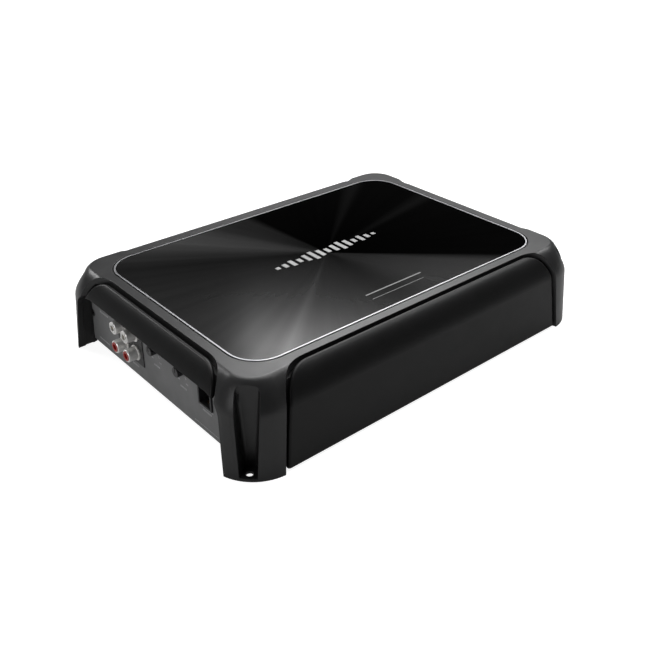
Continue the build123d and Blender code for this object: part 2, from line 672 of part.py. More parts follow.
def phase_switch():
    """Slide switch: metal body with a slot, and its slider."""
    y = (SWITCH_Y - 6, SWITCH_Y + 6)
    face = PLATE_X - PLATE_T - FIT
    switch_body = block((face - 6, face), y, (SWITCH_Z - 4, SWITCH_Z + 4))
    slot_half = SWITCH_TRAVEL / 2 + 1.8
    slot_y = (SWITCH_Y - slot_half - 0.2, SWITCH_Y + slot_half + 0.2)
    switch_body -= block((face - 4, 200), slot_y, (SWITCH_Z - 1.6, SWITCH_Z + 1.6))
    centre = SWITCH_Y - SWITCH_TRAVEL / 2
    slider_z = (SWITCH_Z - 1.5, SWITCH_Z + 1.5)
    slider = block((face - 3.9, PLATE_X + 2.0), (centre - 1.8, centre + 1.8), slider_z)
    for i in (-1, 0, 1):
        y0 = centre + 1.1 * i
        slider -= block((PLATE_X + 1.5, 200), (y0 - 0.2, y0 + 0.2), (SWITCH_Z - 3, SWITCH_Z + 3))
    return switch_body, slider


def led_lens():
    """Indicator lens pressed into the plate from behind."""
    lens = lengthwise((PLATE_X - 6, PLATE_X + 0.8), LED_Y, SWITCH_Z, LED_R)
    lens = fillet(lens.faces().sort_by(Axis.X)[-1].edges(), 0.7)
    return lens + lengthwise((PLATE_X - 6, PLATE_X - PLATE_T - 0.1), LED_Y, SWITCH_Z, LED_R + 0.6)


def output_plate():
    plate = end_plate_blank()
    for clamp in (POWER_CLAMP, SPEAKER_CLAMP):
        _, y, z = clamp_housing_box(clamp)
        plate = plate_window(plate, y, z)
    plate = plate_window(plate, (FUSE_Y[0] - 5.5, FUSE_Y[-1] + 5.5), (BOARD_TOP, FUSE_Z + 12))
    slot = SWITCH_TRAVEL / 2 + 2.0
    plate -= block((100, 200), (SWITCH_Y - slot, SWITCH_Y + slot), (SWITCH_Z - 1.8, SWITCH_Z + 1.8))
    return plate - lengthwise((100, 200), LED_Y, SWITCH_Z, LED_R + 0.1)


def power_end():
    pieces = {"end_plate_output": output_plate(), "fuse_holder": fuse_holder(), "led_lens": led_lens()}
    for name, clamp in (("power", POWER_CLAMP), ("speaker", SPEAKER_CLAMP)):
        pieces[f"{name}_terminal_housing"] = clamp_housing(clamp)
        pieces[f"{name}_terminal_bars"] = group([clamp_bar(clamp, y) for y in clamp["centres"]])
        for number, y in enumerate(clamp["centres"], 1):
            pieces[f"{name}_terminal_cage_{number}"] = clamp_cage(clamp, y)
            pieces[f"{name}_terminal_screw_{number}"] = clamp_screw(clamp, y)
    for number, y in enumerate(FUSE_Y, 1):
        shell, blades = fuse(y)
        pieces[f"fuse_body_{number}"] = shell
        pieces[f"fuse_blades_{number}"] = blades
    pieces["phase_switch_body"], pieces["phase_switch_slider"] = phase_switch()
    return pieces


# ---- Inside -----------------------------------------------------------------------
BOARD_POSTS = [(x, y) for x in (-100.0, 0.0, 100.0) for y in (-62.0, 62.0)]
TOROID_AT = (-38.0, 8.0)
TOROID = {"outer": 25.0, "inner": 12.0, "low": 13.0, "high": 31.0, "turns": 18, "wire": 2.2}
CHOKE_AT = (72.0, 30.0)
CHOKE = {"outer": 16.0, "inner": 8.0, "low": 12.5, "high": 24.0, "turns": 14, "wire": 1.6}


def main_board():
    board = block((-BOARD_HALF_X, BOARD_HALF_X), (-BOARD_HALF_Y, BOARD_HALF_Y), (BOARD_Z, BOARD_TOP))
    for x, y in BOARD_POSTS:
        board -= upright(x, y, (0, 20), TAPPED_R + 0.1)
    return board


def board_standoff(x, y):
    """Hexagonal spacer between the bottom cover and the board."""
    plan = Pos(x, y, COVER_TOP) * (RegularPolygon(3.2, 6) - Circle(TAPPED_R))
    return extrude(plan, amount=BOARD_Z - COVER_TOP - 0.02)


def ring_core(at, size):
    core = upright(at[0], at[1], (size["low"], size["high"]), size["outer"])
    return core - upright(at[0], at[1], (0, 100), size["inner"])


def ring_winding(at, size):
    """Separate square turns spaced evenly round a ring core."""
    wire = size["wire"]
    outer = block(
        (size["inner"] - wire, size["outer"] + wire),
        (-wire / 2, wire / 2),
        (size["low"] - wire, size["high"] + wire),
    )
    gap = 0.1
    room = block(
        (size["inner"] - gap, size["outer"] + gap), (-wire, wire), (size["low"] - gap, size["high"] + gap)
    )
    turn = outer - room
    step = 360 / size["turns"]
    return group([Pos(*at, 0) * Rot(0, 0, step * i) * turn for i in range(size["turns"])])


def capacitor(x, y):
    """Can capacitor with a rolled groove near its foot."""
    can = upright(x, y, (BOARD_TOP + 0.05, BOARD_TOP + 30), 11)
    can = fillet(can.faces().sort_by(Axis.Z)[-1].edges(), 1.0)
    groove = upright(x, y, (BOARD_TOP + 3, BOARD_TOP + 4.2), 12) - upright(x, y, (0, 50), 10.4)
    return can - groove


def transistor(x):
    """Power transistor on the +Y wall: moulded body, metal tab and three legs."""
    y = (BAR_FACE + 0.05, PAD_FACE - 0.05)
    device = block((x - 5, x + 5), y, (19, 33.5))
    device += block((x - 5, x + 5), (PAD_FACE - 1.35, PAD_FACE - 0.05), (19, 39.5))
    for i in (-1, 0, 1):
        lead_x = x + 2.54 * i
        device += block((lead_x - 0.4, lead_x + 0.4), (y[0] + 1.5, y[0] + 2.0), (BOARD_TOP + 0.05, 19.5))
    return device


def clamp_bar_strip():
    """Steel bar that presses the row of transistors to the +Y wall."""
    bar = block((-80, 80), (BAR_FACE - 3, BAR_FACE), (23.5, 30.5))
    for x in CLAMP_SCREW_X:
        bar -= Pos(x, BAR_FACE, CLAMP_SCREW_Z) * Rot(90, 0, 0) * Cylinder(TAPPED_R + 0.1, 20)
    return bar


def thermal_pad():
    pad = block((-80, 80), (PAD_FACE, PAD_FACE + PAD_T - 0.02), (16, 41))
    for x in CLAMP_SCREW_X:
        pad -= Pos(x, PAD_FACE, CLAMP_SCREW_Z) * Rot(90, 0, 0) * Cylinder(TAPPED_R + 0.1, 20)
    return pad


def inside():
    both_sides = [transistor(x) for x in TRANSISTOR_X]
    capacitors = [capacitor(x, -40) for x in (-14.0, 12.0, 38.0, 64.0)]
    return {
        "main_board": main_board(),
        "board_standoffs": group([board_standoff(x, y) for x, y in BOARD_POSTS]),
        "supply_transformer_core": ring_core(TOROID_AT, TOROID),
        "supply_transformer_winding": ring_winding(TOROID_AT, TOROID),
        "output_choke_core": ring_core(CHOKE_AT, CHOKE),
        "output_choke_winding": ring_winding(CHOKE_AT, CHOKE),
        "supply_capacitors": group(capacitors),
        "transistors": group(both_sides + [mirrored_y(device) for device in both_sides]),
        "transistor_clamp_bars": group([clamp_bar_strip(), mirrored_y(clamp_bar_strip())]),
        "thermal_pads": group([thermal_pad(), mirrored_y(thermal_pad())]),
    }


# ---- Fasteners --------------------------------------------------------------------
def fasteners():
    under = COVER_TOP - COVER_T - 0.02
    cover_screws = [Pos(x, y, under) * pan_screw(9) for x, y in COVER_SCREWS]
    boss_screws = [Pos(x, y, under) * pan_screw(12) for x, y in BOSS_SCREWS]
    post_screws = [Pos(x, y, under) * pan_screw(4) for x, y in BOARD_POSTS]
    turned = Pos(PLATE_X, 0, 0) * Rot(0, -90, 0) * flat_screw(9)
    plate_screws = [Pos(0, y, z) * turned for y, z in PLATE_SCREWS]
    board_screw = Rot(180, 0, 0) * pan_screw(2.5)
    board_screws = [Pos(x, y, BOARD_TOP + 0.02) * board_screw for x, y in BOARD_POSTS]
    sideways = Pos(0, BAR_FACE - 3.02, CLAMP_SCREW_Z) * Rot(-90, 0, 0) * pan_screw(10)
    clamp_screws = [Pos(x, 0, 0) * sideways for x in CLAMP_SCREW_X]
    return {
        "bottom_cover_screws": group(cover_screws + boss_screws + post_screws),
        "end_plate_screws": group(plate_screws + [mirrored_x(screw) for screw in plate_screws]),
        "board_screws": group(board_screws),
        "transistor_clamp_screws": group(clamp_screws + [mirrored_y(screw) for screw in clamp_screws]),
    }


# ---- Write every sub-part ---------------------------------------------------------
def build():
    cover = side_cover()
    end_hood = hood()
    nodes = {
        "top_frame": top_frame(),
        "top_panel": top_panel(),
        "trim_ring": trim_ring(),
        "side_cover_front": mirrored_y(cover),
        "side_cover_rear": cover,
        "hood_input": mirrored_x(end_hood),
        "hood_output": end_hood,
        "heatsink": heatsink(),
        "bottom_cover": bottom_cover(),
    }
    nodes.update(input_end())
    nodes.update(power_end())
    nodes.update(inside())
    nodes.update(fasteners())
    return nodes


os.makedirs("parts", exist_ok=True)
for node, shape in build().items():
    save(node, shape)
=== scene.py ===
import math

import bpy
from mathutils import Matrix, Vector


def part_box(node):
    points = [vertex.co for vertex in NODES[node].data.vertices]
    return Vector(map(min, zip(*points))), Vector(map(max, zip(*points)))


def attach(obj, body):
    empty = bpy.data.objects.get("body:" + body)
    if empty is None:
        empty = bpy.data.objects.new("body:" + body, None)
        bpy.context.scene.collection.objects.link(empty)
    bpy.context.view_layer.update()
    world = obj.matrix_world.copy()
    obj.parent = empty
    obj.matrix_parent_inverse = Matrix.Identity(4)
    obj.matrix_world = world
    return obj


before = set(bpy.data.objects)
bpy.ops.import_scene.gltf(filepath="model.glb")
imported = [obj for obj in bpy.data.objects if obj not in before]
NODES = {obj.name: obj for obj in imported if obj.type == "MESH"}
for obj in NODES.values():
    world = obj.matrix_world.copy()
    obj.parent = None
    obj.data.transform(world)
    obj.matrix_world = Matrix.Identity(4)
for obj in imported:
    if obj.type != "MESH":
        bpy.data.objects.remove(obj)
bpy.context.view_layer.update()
MM = 0.001  # metres

# ---- Camera: metres, azimuth from +Y towards +X, lens in mm ------------------------------
CAMERA_AT = Vector((-0.32965, -0.38547, 0.30101))
CAMERA_AZIMUTH = math.radians(40.616)
CAMERA_PITCH = math.radians(-29.018)
CAMERA_LENS = 47.13
CAMERA_SHIFT = (-0.0046, -0.0385)
CAMERA_CLIP = 0.01

# ---- Stage, lengths in metres ----------------------------------------------------------
FLOOR_SIZE = 12.0
ROOM_WHITE = 1.0       # the room as the camera sees it
ROOM_LIGHT = 0.06      # the light that the room adds; the softboxes do the rest
FLOOR_WHITE = 0.90     # glow of the floor paper as the camera sees it
FLOOR_BOUNCE = 0.16    # glow of the floor paper that lights the object


# ---- Node materials ----------------------------------------------------------------
class Graph:
    """A material's node tree, with short ways to add the nodes used here."""

    def __init__(self, name):
        self.material = bpy.data.materials.new(name)
        self.material.use_nodes = True
        self.tree = self.material.node_tree
        self.tree.nodes.clear()
        self.output = self.add("ShaderNodeOutputMaterial")
        coordinates = self.add("ShaderNodeTexCoord")
        to_mm = self.add("ShaderNodeVectorMath", operation="SCALE")
        to_mm.inputs["Scale"].default_value = 1000.0
        self.link(coordinates.outputs["Object"], to_mm.inputs[0])
        self.position = to_mm.outputs["Vector"]

    def add(self, kind, **settings):
        node = self.tree.nodes.new(kind)
        for key, value in settings.items():
            setattr(node, key, value)
        return node

    def link(self, source, target):
        self.tree.links.new(source, target)

    def feed(self, value, target):
        """Links a socket, or sets a plain value."""
        if isinstance(value, bpy.types.NodeSocket):
            self.link(value, target)
        else:
            target.default_value = value

    def noise(self, size, detail=4.0, roughness=0.5, stretch=None, seed=0.0):
        """Noise from 0 to 1 with features about `size` mm across."""
        node = self.add("ShaderNodeTexNoise", noise_dimensions="4D")
        node.inputs["Scale"].default_value = 1.0 / size
        node.inputs["Detail"].default_value = detail
        node.inputs["Roughness"].default_value = roughness
        node.inputs["W"].default_value = seed
        source = self.position
        if stretch:
            scaled = self.add("ShaderNodeVectorMath", operation="MULTIPLY")
            self.link(source, scaled.inputs[0])
            scaled.inputs[1].default_value = stretch
            source = scaled.outputs["Vector"]
        self.link(source, node.inputs["Vector"])
        return node.outputs["Fac"]

    def spread(self, value, low, high, start=0.3, end=0.7):
        """Maps the middle of a noise's range to low..high."""
        node = self.add("ShaderNodeMapRange")
        self.feed(value, node.inputs["Value"])
        node.inputs["From Min"].default_value = start
        node.inputs["From Max"].default_value = end
        node.inputs["To Min"].default_value = low
        node.inputs["To Max"].default_value = high
        return node.outputs["Result"]

    def math(self, operation, a, b=0.0):
        """One arithmetic step; each term is a socket or a number."""
        node = self.add("ShaderNodeMath", operation=operation)
        for socket, value in zip(node.inputs, (a, b)):
            self.feed(value, socket)
        return node.outputs["Value"]

    def mix(self, factor, a, b):
        """Colour from `a` to `b`; each is a socket or (red, green, blue)."""
        node = self.add("ShaderNodeMix", data_type="RGBA")
        self.feed(factor, node.inputs["Factor"])
        for socket, colour in ((node.inputs["A"], a), (node.inputs["B"], b)):
            if isinstance(colour, bpy.types.NodeSocket):
                self.link(colour, socket)
            else:
                socket.default_value = (*colour, 1.0)
        return node.outputs["Result"]

    def bump(self, height, depth, normal=None):
        """Bump of `depth` mm."""
        node = self.add("ShaderNodeBump")
        node.inputs["Strength"].default_value = 1.0
        node.inputs["Distance"].default_value = depth * MM
        self.link(height, node.inputs["Height"])
        if normal:
            self.link(normal, node.inputs["Normal"])
        return node.outputs["Normal"]

    def soft_edges(self, radius):
        """Shading normal rounded over edges by `radius` mm."""
        node = self.add("ShaderNodeBevel", samples=6)
        node.inputs["Radius"].default_value = radius * MM
        return node.outputs["Normal"]

    def principled(self, **inputs):
        """The surface shader, with inputs by name, an underscore for each space."""
        node = self.add("ShaderNodeBsdfPrincipled")
        for name, value in inputs.items():
            self.feed(value, node.inputs[name.replace("_", " ")])
        self.link(node.outputs["BSDF"], self.output.inputs["Surface"])
        return node


def finish_material(
    name,
    light,
    dark,
    rough=(0.35, 0.45),
    patch=18.0,
    grain=0.35,
    grain_depth=0.004,
    metallic=0.0,
    specular=0.5,
    edge=0.25,
    stretch=None,
    seed=0.0,
):
    """A finish with uneven tone, uneven gloss, fine grain and softened edges; sizes in mm."""
    g = Graph(name)
    tone = g.noise(patch, 5.0, 0.6, stretch, seed)
    grain_noise = g.noise(grain, 2.0, 0.5, stretch, seed + 7.0)
    smudge = g.noise(patch * 0.45, 4.0, 0.55, None, seed + 3.0)
    colour = g.mix(g.spread(tone, 0.0, 1.0), dark, light)
    normal = g.soft_edges(edge) if edge else None
    node = g.principled(
        Base_Color=colour,
        Metallic=metallic,
        Roughness=g.spread(smudge, rough[0], rough[1]),
        Normal=g.bump(grain_noise, grain_depth, normal),
    )
    node.inputs["Specular IOR Level"].default_value = specular
    return g.material


# By slot name: light and dark tone, roughness from and to, and grain and softened edge in mm
FINISHES = {
    "black_moulding": dict(
        light=(0.018, 0.018, 0.0185),
        dark=(0.0145, 0.0145, 0.015),
        rough=(0.33, 0.39),
        specular=0.36,
        grain=0.32,
        grain_depth=0.003,
        edge=0.5,
    ),
    "satin_cover": dict(
        light=(0.0034, 0.0034, 0.0036),
        dark=(0.0026, 0.0026, 0.0028),
        rough=(0.40, 0.45),
        specular=0.22,
        grain=0.32,
        grain_depth=0.006,
        edge=0.5,
    ),
    "grey_plate": dict(
        light=(0.176, 0.177, 0.179),
        dark=(0.150, 0.151, 0.153),
        rough=(0.45, 0.6),
        specular=0.4,
        grain=0.5,
        grain_depth=0.01,
        edge=0.15,
    ),
    "bright_trim": dict(
        light=(0.30, 0.30, 0.31),
        dark=(0.25, 0.25, 0.26),
        rough=(0.36, 0.44),
        metallic=1.0,
        grain=0.6,
        grain_depth=0.001,
        edge=0.15,
    ),
    "heatsink_aluminium": dict(
        light=(0.50, 0.51, 0.52),
        dark=(0.40, 0.41, 0.42),
        rough=(0.32, 0.48),
        metallic=1.0,
        grain=0.5,
        grain_depth=0.008,
        stretch=(0.06, 1.0, 1.0),
        edge=0.2,
    ),
    "plated_steel": dict(
        light=(0.56, 0.57, 0.57),
        dark=(0.44, 0.45, 0.46),
        rough=(0.28, 0.42),
        metallic=1.0,
        grain=1.2,
        grain_depth=0.006,
        edge=0.2,
    ),
    "connector_black": dict(
        light=(0.016, 0.016, 0.017),
        dark=(0.010, 0.010, 0.011),
        rough=(0.4, 0.55),
        grain=0.4,
        grain_depth=0.008,
        edge=0.2,
    ),
    "knob_black": dict(
        light=(0.014, 0.014, 0.015),
        dark=(0.008, 0.008, 0.009),
        rough=(0.32, 0.46),
        patch=6.0,
        grain=0.25,
        grain_depth=0.006,
        edge=0.15,
    ),
    "nickel": dict(
        light=(0.92, 0.91, 0.89),
        dark=(0.84, 0.83, 0.81),
        rough=(0.28, 0.38),
        patch=5.0,
        metallic=0.55,
        grain=0.4,
        grain_depth=0.002,
        edge=0.12,
    ),
    "red_plastic": dict(
        light=(0.42, 0.022, 0.016),
        dark=(0.33, 0.014, 0.010),
        rough=(0.3, 0.42),
        patch=6.0,
        grain=0.3,
        grain_depth=0.004,
        edge=0.12,
    ),
    "white_plastic": dict(
        light=(0.70, 0.70, 0.68),
        dark=(0.60, 0.60, 0.58),
        rough=(0.3, 0.42),
        patch=6.0,
        grain=0.3,
        grain_depth=0.004,
        edge=0.12,
    ),
    "brass_contact": dict(
        light=(0.72, 0.53, 0.22),
        dark=(0.60, 0.42, 0.16),
        rough=(0.2, 0.34),
        patch=4.0,
        metallic=1.0,
        grain=0.3,
        grain_depth=0.002,
        edge=0.1,
    ),
    "brass_standoff": dict(
        light=(0.66, 0.49, 0.22),
        dark=(0.54, 0.39, 0.16),
        rough=(0.26, 0.4),
        patch=5.0,
        metallic=1.0,
        grain=0.3,
        grain_depth=0.003,
        edge=0.1,
    ),
    "circuit_board": dict(
        light=(0.016, 0.095, 0.035),
        dark=(0.010, 0.060, 0.022),
        rough=(0.3, 0.45),
        patch=4.0,
        grain=0.7,
        grain_depth=0.015,
        edge=0.1,
    ),
    "terminal_metal": dict(
        light=(0.66, 0.66, 0.64),
        dark=(0.52, 0.52, 0.50),
        rough=(0.2, 0.36),
        patch=5.0,
        metallic=1.0,
        grain=0.5,
        grain_depth=0.003,
        edge=0.15,
    ),
    "copper": dict(
        light=(0.62, 0.24, 0.10),
        dark=(0.50, 0.17, 0.07),
        rough=(0.22, 0.34),
        patch=5.0,
        metallic=1.0,
        grain=0.5,
        grain_depth=0.004,
        edge=0.1,
    ),
    "fuse_amber": dict(
        light=(0.75, 0.24, 0.02),
        dark=(0.62, 0.17, 0.012),
        rough=(0.18, 0.3),
        patch=5.0,
        grain=0.4,
        grain_depth=0.003,
        edge=0.2,
    ),
    "fuse_blade": dict(
        light=(0.68, 0.68, 0.66),
        dark=(0.56, 0.56, 0.54),
        rough=(0.22, 0.36),
        patch=4.0,
        metallic=1.0,
        grain=0.3,
        grain_depth=0.002,
        edge=0.08,
    ),
    "ferrite": dict(
        light=(0.040, 0.038, 0.036),
        dark=(0.024, 0.023, 0.022),
        rough=(0.5, 0.65),
        patch=4.0,
        grain=0.4,
        grain_depth=0.015,
        edge=0.2,
    ),
    "capacitor_sleeve": dict(
        light=(0.020, 0.022, 0.045),
        dark=(0.012, 0.013, 0.030),
        rough=(0.24, 0.34),
        patch=8.0,
        grain=0.5,
        grain_depth=0.003,
        edge=0.3,
    ),
    "epoxy_black": dict(
        light=(0.018, 0.018, 0.018),
        dark=(0.011, 0.011, 0.011),
        rough=(0.45, 0.6),
        patch=4.0,
        grain=0.2,
        grain_depth=0.008,
        edge=0.15,
    ),
    "clamp_steel": dict(
        light=(0.54, 0.55, 0.55),
        dark=(0.42, 0.43, 0.44),
        rough=(0.3, 0.44),
        patch=6.0,
        metallic=1.0,
        grain=0.5,
        grain_depth=0.004,
        edge=0.15,
    ),
    "pad_grey": dict(
        light=(0.30, 0.31, 0.33),
        dark=(0.23, 0.24, 0.26),
        rough=(0.7, 0.85),
        patch=4.0,
        grain=0.4,
        grain_depth=0.02,
        edge=0.1,
    ),
    "screw_black": dict(
        light=(0.020, 0.020, 0.021),
        dark=(0.011, 0.011, 0.012),
        rough=(0.3, 0.42),
        patch=2.0,
        metallic=0.4,
        grain=0.25,
        grain_depth=0.004,
        edge=0.12,
    ),
    "screw_zinc": dict(
        light=(0.60, 0.61, 0.62),
        dark=(0.48, 0.49, 0.50),
        rough=(0.24, 0.36),
        patch=2.0,
        metallic=1.0,
        grain=0.25,
        grain_depth=0.003,
        edge=0.12,
    ),
}


# ---- Glossy top panel ----------------------------------------------------------------
PANEL_DARK = 0.0004            # tone between the fans, and at +X
PANEL_GLOSS = 6.5              # specular level for a tone of 1
PANEL_ROUGH = (0.165, 0.18)
PANEL_SMUDGE = 26.0            # mm across
PANEL_STREAKS = 90.0           # fine brushed streaks round the panel
PANEL_STREAK_DEPTH = (0.92, 1.08)
PANEL_SHEEN_REACH = (0.35, 1.9)      # painted light: the tone's factor at the middle and at the radius below, the panel painted brighter far out
PANEL_SHEEN_REACH_R = 120.0          # mm, where the painted brightening reaches its full factor
# Painted sheen: degrees counter-clockwise from +X, and the tone there of the light and dark fans that
# lamps draw as reflections on the brushed metal, painted into its colour
PANEL_PAINTED_SHEEN = (
    (8, 0.0004),
    (12, 0.0015),
    (17, 0.0004),
    (36, 0.0004),
    (40, 0.0015),
    (44, 0.0004),
    (92, 0.0004),
    (97, 0.0043),
    (112, 0.0059),
    (124, 0.0153),
    (132, 0.017),
    (139, 0.0085),
    (150, 0.003),
    (165, 0.005),
    (180, 0.0061),
    (192, 0.0076),
    (216, 0.0078),
    (220, 0.0130),
    (224, 0.0078),
    (246, 0.0068),
    (262, 0.0052),
    (275, 0.0060),
    (288, 0.0101),
    (300, 0.0108),
    (313, 0.0086),
    (318, 0.0003),
)


def panel_material(name):
    """Gloss black over metal brushed outwards from its middle, with painted sheen: light and dark fans
    of painted reflection, painted brighter far out.
    """
    g = Graph(name)
    parts = g.add("ShaderNodeSeparateXYZ")
    g.link(g.position, parts.inputs["Vector"])
    x, y = parts.outputs["X"], parts.outputs["Y"]
    turn = g.math("DIVIDE", g.math("ARCTAN2", y, x), 2.0 * math.pi)
    turn = g.math("FRACT", g.math("ADD", turn, 1.0))
    ramp = g.add("ShaderNodeValToRGB")
    ramp.color_ramp.interpolation = "LINEAR"
    stops = ramp.color_ramp.elements
    stops[0].position = 0.0
    stops[1].position = 1.0
    for stop in list(stops):
        stop.color = (PANEL_DARK, PANEL_DARK, PANEL_DARK, 1.0)
    for degrees, value in PANEL_PAINTED_SHEEN:
        stop = stops.new(degrees / 360.0)
        stop.color = (value, value, value, 1.0)
    g.link(turn, ramp.inputs["Fac"])
    streaks = g.add("ShaderNodeTexNoise", noise_dimensions="1D")
    streaks.inputs["Scale"].default_value = 1.0
    streaks.inputs["Detail"].default_value = 4.0
    g.link(g.math("MULTIPLY", turn, PANEL_STREAKS), streaks.inputs["W"])
    streak = streaks.outputs["Fac"]
    radius = g.math("SQRT", g.math("ADD", g.math("MULTIPLY", x, x), g.math("MULTIPLY", y, y)))
    # painted light: the tone grows brighter towards the panel's edge
    reach = g.spread(radius, *PANEL_SHEEN_REACH, 0.0, PANEL_SHEEN_REACH_R)
    # painted sheen: the fans' painted reflections, brightened far out, make the colour and set the gloss
    tone = g.math("MULTIPLY", ramp.outputs["Color"], reach)
    tone = g.math("MULTIPLY", tone, g.spread(streak, *PANEL_STREAK_DEPTH, 0.35, 0.65))
    colour = g.add("ShaderNodeCombineColor")
    for channel in ("Red", "Green", "Blue"):
        g.link(tone, colour.inputs[channel])
    smudge = g.noise(PANEL_SMUDGE, 4.0, 0.55)
    node = g.principled(
        Base_Color=colour.outputs["Color"],
        Roughness=g.spread(smudge, *PANEL_ROUGH),
        Normal=g.soft_edges(0.2),
    )
    g.link(g.math("MULTIPLY", tone, PANEL_GLOSS), node.inputs["Specular IOR Level"])
    return g.material


def led_material(name):
    """Clear blue lens with a faint glow."""
    g = Graph(name)
    cloud = g.noise(1.2, 3.0)
    g.principled(
        Base_Color=g.mix(g.spread(cloud, 0.0, 1.0), (0.02, 0.06, 0.30), (0.03, 0.10, 0.45)),
        Roughness=g.spread(cloud, 0.08, 0.16),
        Transmission_Weight=0.35,
        Emission_Color=(0.05, 0.25, 1.0, 1.0),
        Emission_Strength=0.4,
        Normal=g.bump(cloud, 0.002, g.soft_edges(0.1)),
    )
    return g.material


# ---- A material for every slot, by the slot's name ---------------------------------------
MATERIALS = {}
for i, (slot, finish) in enumerate(FINISHES.items()):
    MATERIALS[slot] = finish_material("mat_" + slot, seed=i * 11.0, **finish)
MATERIALS["gloss_panel"] = panel_material("mat_gloss_panel")
MATERIALS["led_blue"] = led_material("mat_led_blue")

for node_object in NODES.values():
    for material_slot in node_object.material_slots:
        material_slot.material = MATERIALS[material_slot.material.name]

# The jack block is a lighter, flatter black than the other connectors
NODES["rca_housing"].material_slots[0].material = finish_material(
    "mat_jack_block",
    light=(0.040, 0.040, 0.041),
    dark=(0.031, 0.031, 0.032),
    rough=(0.45, 0.6),
    patch=6.0,
    edge=0.2,
)

# ---- Printed marks on the end plates and a painted highlight below the jacks, places and sizes in mm ---
INPUT_PLATE_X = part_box("end_plate_input")[0].x / MM
OUTPUT_PLATE_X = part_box("end_plate_output")[1].x / MM
INK = 0.06                          # thickness of the print
CAPTION_FILL = 0.55                 # share of its step that a caption's block fills
DIALS = ((0.5, 34.5), (-28.5, 34.5))  # y, z of the middles of the two rotary controls
DIAL_ENDS = math.radians(52)        # how far below the horizontal a control's travel ends
DIAL_TICK_R = (5.0, 5.55, 6.1)      # the dots of one tick, out from the control's middle
DIAL_TICK = 0.3                     # half a dot's side
DIAL_END_Y = 4.4                    # the captions of the ends, out from the control's middle
# A dial's captions: half the width, drop below the control's middle, height, blocks
DIAL_END_CAPTION = (1.2, 8.4, 0.9, 3)
DIAL_CAPTION = (3.3, 12.6, 1.2, 5)
SOCKET_BRACKET = (-58.6, -45.6, 20.0)  # y from, y to, z
BRACKET_LINE = 0.5
BRACKET_TICK = (0.4, 1.3)           # width, height
# A painted highlight: a pale glinting strip below the jacks, made of the print's material
JACK_PAINTED_HIGHLIGHT = ((62.0, 76.0), (7.4, 8.2))  # y, z
# Captions: y from, y to, z, height, blocks
INPUT_CAPTIONS = (
    (-56.6, -47.6, 17.6, 1.2, 7),    # below the level-control socket
    (59.2, 70.2, 29.2, 1.2, 8),      # above the jacks
    (24.3, 31.9, 9.4, 1.2, 6),       # below the jacks
    (-62.0, -38.0, 5.8, 0.6, 16),    # fine line at the foot of the plate
)
OUTPUT_CAPTIONS = (
    (-70.6, -65.4, 42.6, 1.2, 4),    # three power terminals
    (-54.6, -49.4, 42.6, 1.2, 4),
    (-38.6, -33.4, 42.6, 1.2, 4),
    (15.8, 20.2, 41.0, 1.2, 3),      # two speaker terminals
    (28.8, 33.2, 41.0, 1.2, 3),
    (-15.0, -2.0, 35.4, 1.2, 8),     # fuses
    (47.5, 58.5, 28.4, 1.2, 7),      # phase switch
    (64.0, 68.0, 24.6, 1.0, 3),      # power light
)


def mesh_piece(name, boxes, material):
    """One mesh of separate boxes, each ((x0, y0, z0), (x1, y1, z1)) in mm, riding on the amplifier."""
    points = []
    faces = []
    for low, high in boxes:
        first = len(points)
        for corner in range(8):
            points.append(tuple((high if corner >> axis & 1 else low)[axis] * MM for axis in range(3)))
        for face in ((0, 2, 3, 1), (4, 5, 7, 6), (0, 1, 5, 4), (2, 6, 7, 3), (0, 4, 6, 2), (1, 3, 7, 5)):
            faces.append(tuple(first + corner for corner in face))
    mesh = bpy.data.meshes.new(name)
    mesh.from_pydata(points, [], faces)
    mesh.materials.append(material)
    piece = bpy.data.objects.new(name, mesh)
    bpy.context.scene.collection.objects.link(piece)
    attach(piece, "amplifier")


def plate_box(plate_x, y, z):
    """A printed patch on an end plate, y and z each (low, high)."""
    x = sorted((plate_x, plate_x + math.copysign(INK, plate_x)))
    return ((x[0], min(y), min(z)), (x[1], max(y), max(z)))


def caption(plate_x, start, end, z, height, blocks):
    """A row of small blocks that stands for a printed caption, with no lettering."""
    step = (end - start) / blocks
    row = []
    for i in range(blocks):
        block_y = (start + step * i, start + step * (i + CAPTION_FILL))
        row.append(plate_box(plate_x, block_y, (z, z + height)))
    return row


def dial_marks(plate_x, y, z):
    """Ticks at the two ends of a control's travel, their captions, and the control's own caption."""
    marks = []
    for side in (-1, 1):
        for reach in DIAL_TICK_R:
            tick_y = y + side * reach * math.cos(DIAL_ENDS)
            tick_z = z - reach * math.sin(DIAL_ENDS)
            dot_y = (tick_y - DIAL_TICK, tick_y + DIAL_TICK)
            dot_z = (tick_z - DIAL_TICK, tick_z + DIAL_TICK)
            marks.append(plate_box(plate_x, dot_y, dot_z))
        end_y = y + side * DIAL_END_Y
        half, drop, height, blocks = DIAL_END_CAPTION
        marks += caption(plate_x, end_y - half, end_y + half, z - drop, height, blocks)
    half, drop, height, blocks = DIAL_CAPTION
    return marks + caption(plate_x, y - half, y + half, z - drop, height, blocks)


def socket_bracket(plate_x, low, high, z):
    """A line below a socket, turned up at both ends."""
    tick_width, tick_height = BRACKET_TICK
    return [
        plate_box(plate_x, (low, high), (z, z + BRACKET_LINE)),
        plate_box(plate_x, (low, low + tick_width), (z, z + tick_height)),
        plate_box(plate_x, (high - tick_width, high), (z, z + tick_height)),
    ]


input_marks_and_highlight = []
for dial_y, dial_z in DIALS:
    input_marks_and_highlight += dial_marks(INPUT_PLATE_X, dial_y, dial_z)
input_marks_and_highlight += socket_bracket(INPUT_PLATE_X, *SOCKET_BRACKET)
for row in INPUT_CAPTIONS:
    input_marks_and_highlight += caption(INPUT_PLATE_X, *row)
